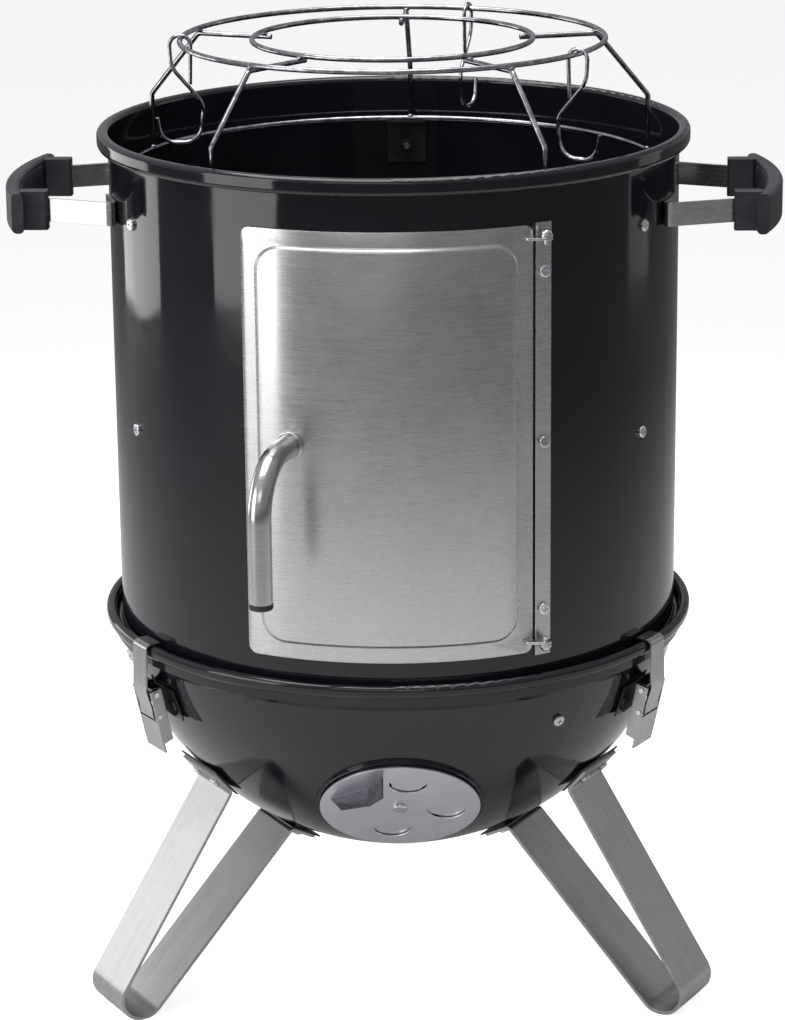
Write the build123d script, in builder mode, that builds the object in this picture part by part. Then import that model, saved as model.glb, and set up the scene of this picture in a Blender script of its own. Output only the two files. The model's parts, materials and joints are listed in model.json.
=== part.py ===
"""Vertical water smoker: bowl on three strap legs, clamped-on barrel with a side door,
hanging rack with hooks, water pan and grates.  Millimetres, +Z up, origin on the ground
on the barrel's axis; the door faces -Y.  Azimuths are measured from -Y towards +X."""
from build123d import *
from math import asin, cos, degrees, radians, sin
import os

# ---------------------------------------------------------------- driving dimensions
barrel_radius = 215.0          # outside of the barrel wall
sheet = 1.2                    # barrel and door sheet thickness
barrel_bottom = 281.4
barrel_top = 666.6
top_bead_radius = 223.1        # outside of the rolled top edge
top_bead_height = 12.6
bottom_bead_radius = 219.4
barrel_turn = -3.0             # barrel fittings sit turned by this azimuth

bowl_sphere_radius = 221.4
bowl_sphere_height = 323.4     # height of the centre of the bowl's spherical wall
bowl_sheet = 1.5
rim_radius = 227.4             # outside of the bowl's rolled rim
rim_height = 291.5
ledge_top = 281.3              # the barrel stands on this ledge
collar_radius = 221.5

door_left, door_right = -30.2, 26.8        # azimuths of the door's edges
door_low, door_high = 311.0, 628.0
opening_left, opening_right = -27.0, 24.5  # azimuths of the hole behind the door
opening_low, opening_high = 322.0, 616.0
hinge_azimuth, hinge_radius = 28.7, 222.5
hinge_strip_right = 31.0

handle_azimuth, handle_height = -20.4, 472.0
handle_reach = 277.0           # radius of the grip tube's axis
handle_low = 372.0
handle_bend = 40.0
tube_radius = 8.5

leg_azimuths = (-60.0, 60.0, 180.0)
leg_width, leg_sheet = 52.0, 2.5
foot_bend = 16.4
clamp_azimuths = (-57.5, 57.5, 180.0)
bracket_azimuths = (-60.0 + barrel_turn, 60.0 + barrel_turn, 180.0 + barrel_turn)
bowl_screw_azimuths = (34.0, 154.0, -86.0)
upper_shelf = 633.0
lower_shelf = 476.0
pan_shelf = 440.0

side_handle_height = 613.4
grip_length = 162.0

vent_tilt = 41.0               # the vent faces this far below the horizontal
vent_face = 215.4              # from the bowl's sphere centre to the flat vent seat
vent_radius = 60.0
vent_hole_radius = 14.0
vent_hole_circle = 35.0
vent_hole_turn = -100.0        # where the damper's first hole stands; the bowl's are 45 degrees on
tab_height = 16.0              # how far the damper's finger tab stands out

rack_height = 731.0
rack_outer, rack_inner, rack_base = 159.0, 105.0, 201.0
rack_wire = 2.0                # wire radius
rack_wire_azimuths = [-112.0 + 72.0 * step for step in range(5)]
base_ring_height = upper_shelf + rack_wire + 0.05
hook_wire = 1.5
hook_azimuths = (-89.0, 57.6, 158.0)

screw_radius = 2.4
screw_hole = 2.6
tap = 0.05                     # play left between joined pieces

strap_sheet, strap_height = 2.0, 17.5
bracket_sheet, bracket_width = 1.6, 31.0
bracket_radius = 211.6         # middle of the upright plates inside the barrel
coal_grate_height = 266.0
pan_depth = 72.0
lever_pin = (224.5, 259.0)     # radius and height
hook_pin = (222.0, 241.0)
clamp_pin_radius = 2.0
hook_width, ear_gap, wall_gap = 19.6, 20.6, 25.2


def around(radius, azimuth, height=0.0):
    """A point at a radius and azimuth about the barrel's axis."""
    angle = radians(azimuth)
    return (radius * sin(angle), -radius * cos(angle), height)


def radial_plane(azimuth):
    """The upright plane through the axis: local x runs outward, local y runs up."""
    return Plane(origin=(0, 0, 0), x_dir=around(1, azimuth), z_dir=around(-1, azimuth + 90))


def outward_plane(radius, azimuth, height):
    """A plane that faces outward from the axis."""
    return Plane(origin=around(radius, azimuth, height), x_dir=around(1, azimuth + 90),
                 z_dir=around(1, azimuth))


def bowl_plane(distance, azimuth, tilt, side=0.0):
    """A plane facing outward from the bowl's sphere, tilted below the horizontal."""
    flat = distance * cos(radians(tilt))
    drop = bowl_sphere_height - distance * sin(radians(tilt))
    start = Vector(*around(flat, azimuth, drop)) + Vector(*around(side, azimuth + 90))
    normal = Vector(*around(cos(radians(tilt)), azimuth)) + Vector(0, 0, -sin(radians(tilt)))
    return Plane(origin=start, x_dir=around(1, azimuth + 90), z_dir=normal)


def save(part, label):
    """Label a finished piece and write its file."""
    part.label = label
    export_step(part, f"parts/{label}.step")


def bolts_on(planes, grip, head_radius=4.6, head_height=2.6, radius=screw_radius):
    """Pan-head screws whose heads stand on each plane and whose shanks go behind it."""
    with BuildPart() as screws:
        for plane in planes:
            with BuildSketch(plane):
                Circle(head_radius)
            extrude(amount=head_height)
            top = screws.faces(Select.LAST).sort_by(Axis(plane.origin, plane.z_dir))[-1]
            fillet(top.edges(), head_height * 0.45)
            with BuildSketch(plane.offset(head_height)):
                Rectangle(head_radius, head_radius * 0.22)
                Rectangle(head_radius * 0.22, head_radius)
            extrude(amount=-1.2, mode=Mode.SUBTRACT)
            with BuildSketch(plane):
                Circle(radius)
            extrude(amount=-grip)
    return screws.part


def nuts_on(planes, height=4.0, across=8.0, bore=screw_radius + tap):
    """Hexagon nuts that stand on each plane."""
    with BuildPart() as nuts:
        for plane in planes:
            with BuildSketch(plane):
                RegularPolygon(across / 2, 6, major_radius=False)
                Circle(bore, mode=Mode.SUBTRACT)
            extrude(amount=height)
    return nuts.part


def drills(planes, radius=screw_hole, depth=8.0):
    """Round cutters that stand through the wall at each plane."""
    with BuildPart() as cutters:
        for plane in planes:
            with BuildSketch(plane):
                Circle(radius)
            extrude(amount=depth, both=True)
    return cutters.part


os.makedirs("parts", exist_ok=True)

# ---------------------------------------------------------------- places of the fasteners
upper_screws = [outward_plane(barrel_radius + 0.05, a, 611.0) for a in bracket_azimuths]
lower_screws = [outward_plane(barrel_radius + 0.05, a, 456.0) for a in bracket_azimuths]
strip_azimuth = 29.2
strip_face = barrel_radius + 0.1 + 1.4
strip_screws = [outward_plane(strip_face + 0.2, strip_azimuth, z) for z in (343.0, 469.0, 594.0)]
side_turns = (90.0 + barrel_turn, -90.0 + barrel_turn)
strap_bolt_offset = 17.6
strap_bolts = [outward_plane(barrel_radius + 2.9, turn + offset, side_handle_height)
               for turn in side_turns for offset in (-strap_bolt_offset, strap_bolt_offset)]
bowl_screws = [bowl_plane(bowl_sphere_radius + 0.1, a, 19.0) for a in bowl_screw_azimuths]
leg_tilts = (40.5, 63.0)
leg_bolt_side = 15.0
leg_bolts = [bowl_plane(bowl_sphere_radius + 4.2, a, tilt, side) for a in leg_azimuths
             for tilt in leg_tilts for side in (-leg_bolt_side, leg_bolt_side)]
clamp_tilt = 19.5
clamp_rivets = [bowl_plane(bowl_sphere_radius + 1.75, a, clamp_tilt, side) for a in clamp_azimuths
                for side in (-16.5, 16.5)]

# ---------------------------------------------------------------- bowl
vent_plane = bowl_plane(vent_face, 0.0, vent_tilt)
bowl_cutters = (drills(bowl_screws), drills(leg_bolts), drills(clamp_rivets, radius=2.3))
with BuildPart() as bowl:
    with BuildSketch(Plane.XZ):
        with BuildLine():
            ledge_low = 274.5
            rise = degrees(asin((bowl_sphere_height - ledge_low) / bowl_sphere_radius))
            inner_radius = bowl_sphere_radius - bowl_sheet
            inner_rise = degrees(asin((bowl_sphere_height - ledge_low) / inner_radius))
            outer_arc = CenterArc((0, bowl_sphere_height), bowl_sphere_radius, -90, 90 - rise)
            inner_arc = CenterArc((0, bowl_sphere_height), inner_radius, -90, 90 - inner_rise)
            Line(outer_arc @ 0, inner_arc @ 0)
            Line(outer_arc @ 1, inner_arc @ 1)
        make_face()
        with BuildLine():
            Polyline((213.6, ledge_top), (collar_radius, ledge_top), (collar_radius, 279.0),
                     (216.2, ledge_low), (213.6, ledge_low), close=True)
        make_face()
        with Locations(((219.9 + collar_radius) / 2, (279.0 + rim_height) / 2)):
            Rectangle(collar_radius - 219.9, rim_height - 279.0)
        with Locations(((219.9 + rim_radius) / 2, rim_height)):
            RectangleRounded(rim_radius - 219.9, 9.6, 3.6)
    revolve(axis=Axis.Z)
    # flat boss that the vent lies on, hollow behind like pressed sheet
    with BuildSketch(vent_plane):
        Circle(vent_radius + 3.0)
    extrude(amount=-5.0)
    with BuildSketch(vent_plane):
        Circle(vent_radius + 3.0)
    extrude(amount=20.0, mode=Mode.SUBTRACT)
    hollow_plane = vent_plane.offset(-bowl_sheet)
    with BuildSketch(hollow_plane):
        Circle(vent_radius + 3.0 - bowl_sheet)
    extrude(amount=-40.0, mode=Mode.SUBTRACT)
    with BuildSketch(vent_plane):
        with PolarLocations(vent_hole_circle, 3, vent_hole_turn + 45.0, 270.0):
            Circle(vent_hole_radius)
        Circle(3.1)
    extrude(amount=-10.0, mode=Mode.SUBTRACT)
    for cutter in bowl_cutters:
        add(cutter, mode=Mode.SUBTRACT)
save(bowl.part, "bowl")

# ---------------------------------------------------------------- barrel
barrel_cutter = drills(upper_screws + lower_screws + strip_screws + strap_bolts)
with BuildPart() as barrel:
    with BuildSketch(Plane.XZ):
        inside = barrel_radius - sheet
        with Locations(((inside + barrel_radius) / 2, (barrel_bottom + barrel_top - 4) / 2)):
            Rectangle(sheet, barrel_top - 4 - barrel_bottom)
        with Locations(((inside + top_bead_radius) / 2, barrel_top - top_bead_height / 2)):
            RectangleRounded(top_bead_radius - inside, top_bead_height, 3.6)
        with Locations(((inside + bottom_bead_radius) / 2, barrel_bottom + 3.0)):
            RectangleRounded(bottom_bead_radius - inside, 6.0, 2.4)
    revolve(axis=Axis.Z)
    left = barrel_radius * sin(radians(opening_left))
    right = barrel_radius * sin(radians(opening_right))
    with BuildSketch(Plane.XZ.offset(100.0)):
        with Locations(((left + right) / 2, (opening_low + opening_high) / 2)):
            RectangleRounded(right - left, opening_high - opening_low, 14.0)
    extrude(amount=150.0, mode=Mode.SUBTRACT)
    add(barrel_cutter, mode=Mode.SUBTRACT)
save(barrel.part, "barrel")

# ---------------------------------------------------------------- door, its hinge and handle
door_skin = barrel_radius + 0.4
panel_rise = 2.0
pin_x, pin_y, _ = around(hinge_radius, hinge_azimuth)
lug_sheet = 2.0
lug_heights = (318.5, 617.5)             # undersides of the door's two lugs
ear_heights = (316.2, 619.8)             # undersides of the strip's two ears
handle_plane = outward_plane(barrel_radius + 0.4 + sheet + panel_rise + 0.1, handle_azimuth,
                             handle_height)


def door_outline(plane, margin, corner):
    """The door's outline on an upright plane in front of it, drawn in by a margin."""
    low_x = barrel_radius * sin(radians(door_left)) + margin
    high_x = barrel_radius * sin(radians(door_right)) - margin
    with BuildSketch(plane) as outline:
        with Locations(((low_x + high_x) / 2, (door_low + door_high) / 2)):
            RectangleRounded(high_x - low_x, door_high - door_low - 2 * margin, corner)
    return outline.sketch


def door_shell(inner, outer, margin, corner):
    """A piece of upright cylinder wall, cut to the door's outline drawn in by a margin."""
    with BuildPart() as shell:
        with BuildSketch(Plane.XY.offset(door_low)):
            Circle(outer)
            Circle(inner, mode=Mode.SUBTRACT)
        extrude(amount=door_high - door_low)
        extrude(door_outline(front, margin, corner), amount=160.0, mode=Mode.INTERSECT)
    return shell.part


front = Plane.XZ.offset(120.0)
panel_margin = 14.0
door_skin_part = door_shell(door_skin, door_skin + sheet, 0.0, 7.0)
raised_middle = door_shell(door_skin + 0.3, door_skin + sheet + panel_rise, panel_margin, 20.0)
hollow_back = door_shell(door_skin - 1.0, door_skin + panel_rise, panel_margin + sheet, 19.0)
spindle_cutter = drills([handle_plane], radius=3.1)
with BuildPart() as door_panel:
    add(door_skin_part)
    add(raised_middle)
    add(hollow_back, mode=Mode.SUBTRACT)
    for height in lug_heights:
        with BuildSketch(Plane.XY.offset(height)):
            with Locations((pin_x, pin_y)):
                Circle(4.8)
            with BuildLine():
                Polyline(around(hinge_radius + 4.6, hinge_azimuth)[:2],
                         around(barrel_radius + 1.0, 25.4)[:2],
                         around(barrel_radius + 1.0, 26.7)[:2],
                         around(hinge_radius - 4.6, hinge_azimuth)[:2], close=True)
            make_face()
            with Locations((pin_x, pin_y)):
                Circle(2.05, mode=Mode.SUBTRACT)
        extrude(amount=lug_sheet)
    add(spindle_cutter, mode=Mode.SUBTRACT)
save(door_panel.part, "door_panel")

strip_cutter = drills(strip_screws)
with BuildPart() as hinge_strip:
    with BuildSketch(Plane.XY.offset(door_low - 3.0)):
        Circle(strip_face)
        Circle(strip_face - 1.4, mode=Mode.SUBTRACT)
    extrude(amount=door_high - door_low + 4.0)
    strip_left_x = barrel_radius * sin(radians(door_right + 0.75))
    strip_right_x = barrel_radius * sin(radians(hinge_strip_right))
    with BuildSketch(front):
        with Locations(((strip_left_x + strip_right_x) / 2, (door_low + door_high) / 2 - 1.0)):
            Rectangle(strip_right_x - strip_left_x, door_high - door_low + 4.0)
    extrude(amount=160.0, mode=Mode.INTERSECT)
    for height in ear_heights:
        with BuildSketch(Plane.XY.offset(height)):
            with Locations((pin_x, pin_y)):
                Circle(4.8)
            with BuildLine():
                Polyline(around(hinge_radius, hinge_azimuth - 1.2)[:2],
                         around(strip_face - 0.7, hinge_azimuth - 0.9)[:2],
                         around(strip_face - 0.7, hinge_azimuth + 1.6)[:2],
                         around(hinge_radius, hinge_azimuth + 1.2)[:2], close=True)
            make_face()
            with Locations((pin_x, pin_y)):
                Circle(2.05, mode=Mode.SUBTRACT)
        extrude(amount=lug_sheet)
    add(strip_cutter, mode=Mode.SUBTRACT)
save(hinge_strip.part, "hinge_strip")

with BuildPart() as hinge_pins:
    pins = ((ear_heights[1] + lug_sheet + tap, 1), (ear_heights[0] - tap, -1))
    for height, side in pins:
        seat = Plane(origin=(pin_x, pin_y, height), z_dir=(0, 0, side))
        with BuildSketch(seat.offset(-7.5)):
            Circle(2.0)
        extrude(amount=8.0)
        with BuildSketch(seat):
            Circle(4.0)
        extrude(amount=3.4)
        crown = hinge_pins.faces(Select.LAST).sort_by(Axis(seat.origin, seat.z_dir))[-1]
        fillet(crown.edges(), 2.6)
save(hinge_pins.part, "hinge_pins")
save(bolts_on(strip_screws, grip=6.5), "hinge_strip_screws")

with BuildPart() as handle_rose:
    with BuildSketch(handle_plane):
        Circle(tube_radius + 2.2)
        Circle(3.1, mode=Mode.SUBTRACT)
    extrude(amount=3.0)
    fillet(handle_rose.edges().filter_by(GeomType.CIRCLE).sort_by(SortBy.RADIUS)[-2:], 1.0)
save(handle_rose.part, "handle_rose")

with BuildPart() as door_handle_tube:
    start = handle_plane.origin.X**2 + handle_plane.origin.Y**2
    with BuildLine(radial_plane(handle_azimuth)) as tube_path:
        FilletPolyline((start**0.5 + 3.4, handle_height), (handle_reach, handle_height),
                       (handle_reach, handle_low), radius=handle_bend)
    with BuildSketch(Plane(tube_path.line @ 0, z_dir=tube_path.line % 0)):
        Circle(tube_radius)
    sweep()
save(door_handle_tube.part, "door_handle_tube")

cap_plane = Plane(origin=around(handle_reach, handle_azimuth, handle_low - tap), z_dir=(0, 0, -1))
with BuildPart() as handle_end_cap:
    with BuildSketch(cap_plane):
        Circle(tube_radius + 0.2)
    extrude(amount=4.6)
    fillet(handle_end_cap.faces().sort_by(Axis.Z)[0].edges(), 1.8)
save(handle_end_cap.part, "handle_end_cap")

with BuildPart() as handle_spindle:
    with BuildSketch(handle_plane.offset(3.3)):
        Circle(3.0)
    extrude(amount=-20.0)
save(handle_spindle.part, "handle_spindle")

tongue_plane = handle_plane.offset(-11.5)
with BuildPart() as door_latch_tongue:
    with BuildSketch(tongue_plane):
        with Locations((0, -11.5)):
            RectangleRounded(16.0, 41.0, 5.0)
        Circle(3.0 + tap, mode=Mode.SUBTRACT)
    extrude(amount=2.0)
save(door_latch_tongue.part, "door_latch_tongue")
spindle_nut_plane = Plane(origin=tongue_plane.origin, x_dir=tongue_plane.x_dir,
                          z_dir=-tongue_plane.z_dir).offset(tap)
save(nuts_on([spindle_nut_plane], height=4.5, across=10.0, bore=3.0 + tap), "spindle_nut")

# ---------------------------------------------------------------- side handles
flange_end, flange_bend = around(barrel_radius + 2.4, 77.2), around(barrel_radius + 2.4, 67.2)
strap_route = ((flange_end[0], -flange_end[1]), (flange_bend[0], -flange_bend[1]), (266.0, 61.0))
for side_name, turn in zip(("right", "left"), side_turns):
    side_plane = Plane.XY.rotated((0, 0, turn - 90.0)).offset(side_handle_height)
    strap_cutter = drills([p for p in strap_bolts if p.origin.dot(side_plane.x_dir) > 0])
    with BuildPart() as straps:
        for mirror_y in (-1, 1):
            with BuildSketch(side_plane.offset(-strap_height / 2)):
                with BuildLine():
                    FilletPolyline(*((x, mirror_y * y) for x, y in strap_route), radius=4.0)
                trace(line_width=strap_sheet)
            extrude(amount=strap_height)
        add(strap_cutter, mode=Mode.SUBTRACT)
    save(straps.part, f"{side_name}_handle_straps")

    with BuildPart() as grip:
        with BuildSketch(side_plane.offset(-15.0)):
            half = grip_length / 2
            with BuildLine():
                outer = ThreePointArc((279.0, -half), (292.6, 0), (279.0, half))
                inner = ThreePointArc((270.0, -half), (281.0, 0), (270.0, half))
                Line(outer @ 0, inner @ 0)
                Line(outer @ 1, inner @ 1)
            make_face()
        extrude(amount=30.0)
        fillet(grip.edges().filter_by(Axis.Z, reverse=True).filter_by(GeomType.CIRCLE), 3.5)
        with BuildSketch(side_plane.offset(-14.5)):
            with Locations((264.5, 64.0), (264.5, -64.0)):
                RectangleRounded(21.0, 12.0, 2.0)
        extrude(amount=29.0)
        add(straps.part, mode=Mode.SUBTRACT)
    save(grip.part, f"{side_name}_grip")

save(bolts_on(strap_bolts, grip=9.0), "handle_bolts")
strap_nut_planes = [Plane(origin=p.origin - p.z_dir * 4.4, z_dir=-p.z_dir) for p in strap_bolts]
save(nuts_on(strap_nut_planes), "handle_nuts")

# ---------------------------------------------------------------- brackets inside the barrel
upper_route = ((bracket_radius, 597.0), (bracket_radius, upper_shelf - 0.8), (198.3, upper_shelf - 0.8))
lower_route = ((177.0, pan_shelf - 0.8), (bracket_radius, pan_shelf - 0.8),
               (bracket_radius, lower_shelf - 0.8), (187.5, lower_shelf - 0.8))
for name, route, holes in (("upper_brackets", upper_route, upper_screws),
                           ("lower_brackets", lower_route, lower_screws)):
    hole_cutter = drills(holes)
    with BuildPart() as brackets:
        for azimuth in bracket_azimuths:
            with BuildSketch(radial_plane(azimuth)):
                with BuildLine():
                    FilletPolyline(*route, radius=2.5)
                trace(line_width=bracket_sheet)
            extrude(amount=bracket_width / 2, both=True)
        add(hole_cutter, mode=Mode.SUBTRACT)
    save(brackets.part, name)
save(bolts_on(upper_screws + lower_screws, grip=9.5), "bracket_screws")
bracket_nut_planes = [Plane(origin=p.origin - p.z_dir * 4.35, z_dir=-p.z_dir)
                      for p in upper_screws + lower_screws]
save(nuts_on(bracket_nut_planes), "bracket_nuts")

# ---------------------------------------------------------------- brackets inside the bowl
bowl_bracket_tilt = 19.0
shelf_height = coal_grate_height - 4.75
bowl_screw_cutter = drills(bowl_screws)
with BuildPart() as bowl_brackets:
    for azimuth in bowl_screw_azimuths:
        middle = bowl_plane(bowl_sphere_radius - 4.2, azimuth, bowl_bracket_tilt)
        with BuildSketch(middle):
            with Locations((0, 3.0)):
                Rectangle(24.0, 18.0)
        extrude(amount=1.6)
        with BuildSketch(radial_plane(azimuth)):
            with BuildLine():
                Polyline((186.0, shelf_height), (208.4, shelf_height), (207.9, shelf_height - 1.6),
                         (186.0, shelf_height - 1.6), close=True)
            make_face()
        extrude(amount=12.0, both=True)
    add(bowl_screw_cutter, mode=Mode.SUBTRACT)
save(bowl_brackets.part, "bowl_brackets")
save(bolts_on(bowl_screws, grip=9.5), "bowl_screws")
bowl_nut_planes = [Plane(origin=p.origin - p.z_dir * 4.4, z_dir=-p.z_dir) for p in bowl_screws]
save(nuts_on(bowl_nut_planes), "bowl_nuts")


# ---------------------------------------------------------------- grates, coal ring, water pan
def grate(radius, height, rim_wire, bar_wire, pitch):
    """A round grate: parallel bars welded under a ring of thicker wire."""
    with BuildPart() as rods:
        with BuildSketch(Plane.XZ):
            with Locations((radius, height)):
                Circle(rim_wire)
        revolve(axis=Axis.Z)
        count = int(2 * (radius - pitch / 2) / pitch)
        for index in range(count + 1):
            x = (index - count / 2) * pitch
            half = (radius**2 - x**2) ** 0.5
            with BuildSketch(Plane.XZ.offset(-half)):
                with Locations((x, height)):
                    Circle(bar_wire)
            extrude(amount=2 * half)
    return rods.part


save(grate(197.0, coal_grate_height, 3.0, 2.5, 26.0), "charcoal_grate")
save(grate(190.5, lower_shelf + 3.05, 3.0, 2.0, 15.0), "lower_grate")

coal_ring_radius, coal_ring_low, coal_ring_high = 165.0, coal_grate_height + 3.1, 350.0
with BuildPart() as charcoal_ring:
    with BuildSketch(Plane.XY.offset(coal_ring_low)):
        Circle(coal_ring_radius)
        Circle(coal_ring_radius - 1.2, mode=Mode.SUBTRACT)
    extrude(amount=coal_ring_high - coal_ring_low)
    for row, height in enumerate((285.0, 308.0, 331.0)):
        for step in range(24):
            turn = 15.0 * step + 7.5 * (row % 2)
            with BuildSketch(outward_plane(coal_ring_radius - 5.0, turn, height)):
                Circle(6.0)
            extrude(amount=10.0, mode=Mode.SUBTRACT)
save(charcoal_ring.part, "charcoal_ring")

with BuildPart() as water_pan:
    with BuildSketch(Plane.XZ):
        with BuildLine():
            FilletPolyline((185.0, pan_shelf + 0.9), (172.0, pan_shelf + 0.9),
                           (158.0, pan_shelf - pan_depth), (0.0, pan_shelf - pan_depth),
                           radius=(3.0, 12.0))
            offset(amount=0.8, side=Side.BOTH)
        make_face()
        with Locations((-100.0, pan_shelf - 40)):
            Rectangle(200.0, 100.0, mode=Mode.SUBTRACT)
    revolve(axis=Axis.Z)
save(water_pan.part, "water_pan")

# ---------------------------------------------------------------- vent in the bowl
plate_top = vent_plane.offset(0.1)
with BuildPart() as vent_plate:
    with BuildSketch(plate_top):
        Circle(vent_radius - 2.0)
        Circle(3.1, mode=Mode.SUBTRACT)
        with PolarLocations(vent_hole_circle, 3, vent_hole_turn + 45.0, 270.0):
            Circle(vent_hole_radius, mode=Mode.SUBTRACT)
    extrude(amount=0.8)
save(vent_plate.part, "vent_plate")

damper_face = plate_top.offset(1.4)
tab_foot, tab_corner = (-53.0, 12.2), (-22.9, 29.6)
long_wall = ((1.0, 0.4), (34.8, 0.4), (34.8, tab_height), (11.0, tab_height - 3.0))
short_wall = ((-0.6, 0.4), (19.0, 0.4), (19.0, tab_height + 2.0), (-0.6, tab_height))


def tab_wall(foot, turn):
    """The upright plane of a tab wall: local x runs along the disc, local y stands out of it."""
    along = damper_face.x_dir.rotate(Axis((0, 0, 0), damper_face.z_dir), turn)
    return Plane(origin=damper_face.from_local_coords((*foot, 0.0)), x_dir=along,
                 z_dir=along.cross(damper_face.z_dir))


with BuildPart() as vent_damper:
    with BuildSketch(damper_face):
        Circle(vent_radius)
        with PolarLocations(vent_hole_circle, 3, vent_hole_turn, 270.0):
            Circle(vent_hole_radius, mode=Mode.SUBTRACT)
        Circle(3.1, mode=Mode.SUBTRACT)
    extrude(amount=1.2)
    # finger tab: a long wall and a short wall folded up out of the disc, square to it
    for foot, turn, outline in ((tab_foot, 30.0, long_wall), (tab_corner, 58.0, short_wall)):
        with BuildSketch(tab_wall(foot, turn)):
            Polygon(*outline, align=None)
        extrude(amount=0.65, both=True)
save(vent_damper.part, "vent_damper")

with BuildPart() as vent_rivet:
    head = damper_face.offset(1.2 + tap)
    with BuildSketch(head):
        Circle(6.0)
    extrude(amount=3.0)
    fillet(vent_rivet.faces().sort_by(Axis(head.origin, head.z_dir))[-1].edges(), 2.0)
    with BuildSketch(head):
        Circle(3.0)
    extrude(amount=-8.0)
save(vent_rivet.part, "vent_rivet")

# ---------------------------------------------------------------- legs
flange_half = 11.0


def on_bowl(distance, tilt, along):
    """A point in a radial plane: out from the bowl's sphere centre, then up along its skin."""
    angle = radians(tilt)
    return (distance * cos(angle) + along * sin(angle),
            bowl_sphere_height - distance * sin(angle) + along * cos(angle))


flange_distance = bowl_sphere_radius + 1.6 + leg_sheet / 2
foot_line = leg_sheet / 2
leg_route = (on_bowl(flange_distance, leg_tilts[0], flange_half),
             on_bowl(flange_distance, leg_tilts[0], -flange_half),
             (274.9, foot_line), (235.5, foot_line),
             on_bowl(flange_distance, leg_tilts[1], flange_half),
             on_bowl(flange_distance, leg_tilts[1], -flange_half))
for name, azimuth in zip(("leg_front_left", "leg_front_right", "leg_back"), leg_azimuths):
    own_bolts = [p for p in leg_bolts if p.origin.dot(Vector(*around(1, azimuth))) > 0]
    leg_cutter = drills(own_bolts)
    with BuildPart() as leg:
        with BuildSketch(radial_plane(azimuth)):
            with BuildLine():
                FilletPolyline(*leg_route, radius=(4.0, foot_bend, foot_bend, 4.0))
            trace(line_width=leg_sheet)
        extrude(amount=leg_width / 2, both=True)
        add(leg_cutter, mode=Mode.SUBTRACT)
    save(leg.part, name)

pad_cutter = drills(leg_bolts)
with BuildPart() as leg_pads:
    for azimuth in leg_azimuths:
        for tilt in leg_tilts:
            with BuildSketch(bowl_plane(bowl_sphere_radius + 0.3, azimuth, tilt)):
                Rectangle(leg_width + 5.0, 2 * flange_half + 6.0)
            extrude(amount=1.2)
    add(pad_cutter, mode=Mode.SUBTRACT)
save(leg_pads.part, "leg_pads")
save(bolts_on(leg_bolts, grip=12.0, head_radius=4.2), "leg_bolts")
leg_nut_planes = [Plane(origin=p.origin - p.z_dir * 6.7, z_dir=-p.z_dir) for p in leg_bolts]
save(nuts_on(leg_nut_planes), "leg_nuts")

# ---------------------------------------------------------------- toggle clamps
with BuildPart() as clamp_pins:
    for azimuth in clamp_azimuths:
        with BuildSketch(radial_plane(azimuth)):
            with Locations(lever_pin):
                Circle(clamp_pin_radius)
        extrude(amount=(wall_gap + 5.0) / 2, both=True)
save(clamp_pins.part, "clamp_pins")

rivet_cutter = drills(clamp_rivets, radius=2.3)
for number, azimuth in enumerate(clamp_azimuths, start=1):
    plane = radial_plane(azimuth)
    with BuildPart() as clamp_base:
        base_face = bowl_plane(bowl_sphere_radius + 0.4, azimuth, clamp_tilt)
        with BuildSketch(base_face):
            Rectangle(42.0, 26.0)
        extrude(amount=1.3)
        for side in (-1, 1):
            with BuildSketch(plane.offset(side * (ear_gap / 2 + 0.9))):
                with BuildLine():
                    Polyline((213.2, 262.5), (226.0, 263.5), (228.0, 257.0), (208.6, 238.2),
                             (206.6, 239.2), close=True)
                make_face()
                with Locations(lever_pin):
                    Circle(clamp_pin_radius + tap, mode=Mode.SUBTRACT)
            extrude(amount=0.9, both=True)
        add(rivet_cutter, mode=Mode.SUBTRACT)
    save(clamp_base.part, f"clamp_base_{number}")

    with BuildPart() as clamp_lever:
        for side in (-1, 1):
            with BuildSketch(plane.offset(side * (wall_gap / 2 + 0.7))):
                with BuildLine():
                    Polyline((220.4, 263.4), (229.6, 261.2), (219.8, 218.4), (211.0, 221.6),
                             close=True)
                make_face()
                for pin in (lever_pin, hook_pin):
                    with Locations(pin):
                        Circle(clamp_pin_radius + tap, mode=Mode.SUBTRACT)
            extrude(amount=0.7, both=True)
        with BuildSketch(plane):
            with BuildLine():
                Polyline((224.0, 236.6), (218.0, 211.4), (216.6, 211.7), (222.6, 236.9), close=True)
            make_face()
        extrude(amount=wall_gap / 2 + 1.4, both=True)
    save(clamp_lever.part, f"clamp_lever_{number}")

    with BuildPart() as clamp_hook:
        with BuildSketch(plane):
            with BuildLine():
                FilletPolyline((224.9, 241.0), (225.4, 246.0), (230.4, 262.0), (229.3, 297.5),
                               (217.6, 297.6), radius=(10.0, 24.0, 4.0))
            trace(line_width=1.5)
            with Locations(hook_pin):
                Circle(3.6)
                Circle(clamp_pin_radius + tap, mode=Mode.SUBTRACT)
        extrude(amount=hook_width / 2, both=True)
    save(clamp_hook.part, f"clamp_hook_{number}")

    with BuildPart() as hook_pivot:
        with BuildSketch(plane):
            with Locations(hook_pin):
                Circle(clamp_pin_radius)
        extrude(amount=(wall_gap + 4.0) / 2, both=True)
    save(hook_pivot.part, f"hook_pin_{number}")

save(bolts_on(clamp_rivets, grip=6.0, head_radius=3.6, head_height=2.0, radius=2.1), "clamp_rivets")


# ---------------------------------------------------------------- hanging rack and hooks
def ring(radius, height, wire):
    """A closed wire ring about the axis."""
    with BuildPart() as hoop:
        with BuildSketch(Plane.XZ):
            with Locations((radius, height)):
                Circle(wire)
        revolve(axis=Axis.Z)
    return hoop.part


save(ring(rack_outer, rack_height, rack_wire), "rack_outer_ring")
save(ring(rack_inner, rack_height, rack_wire), "rack_inner_ring")
save(ring(rack_base, base_ring_height, rack_wire), "rack_base_ring")

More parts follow.
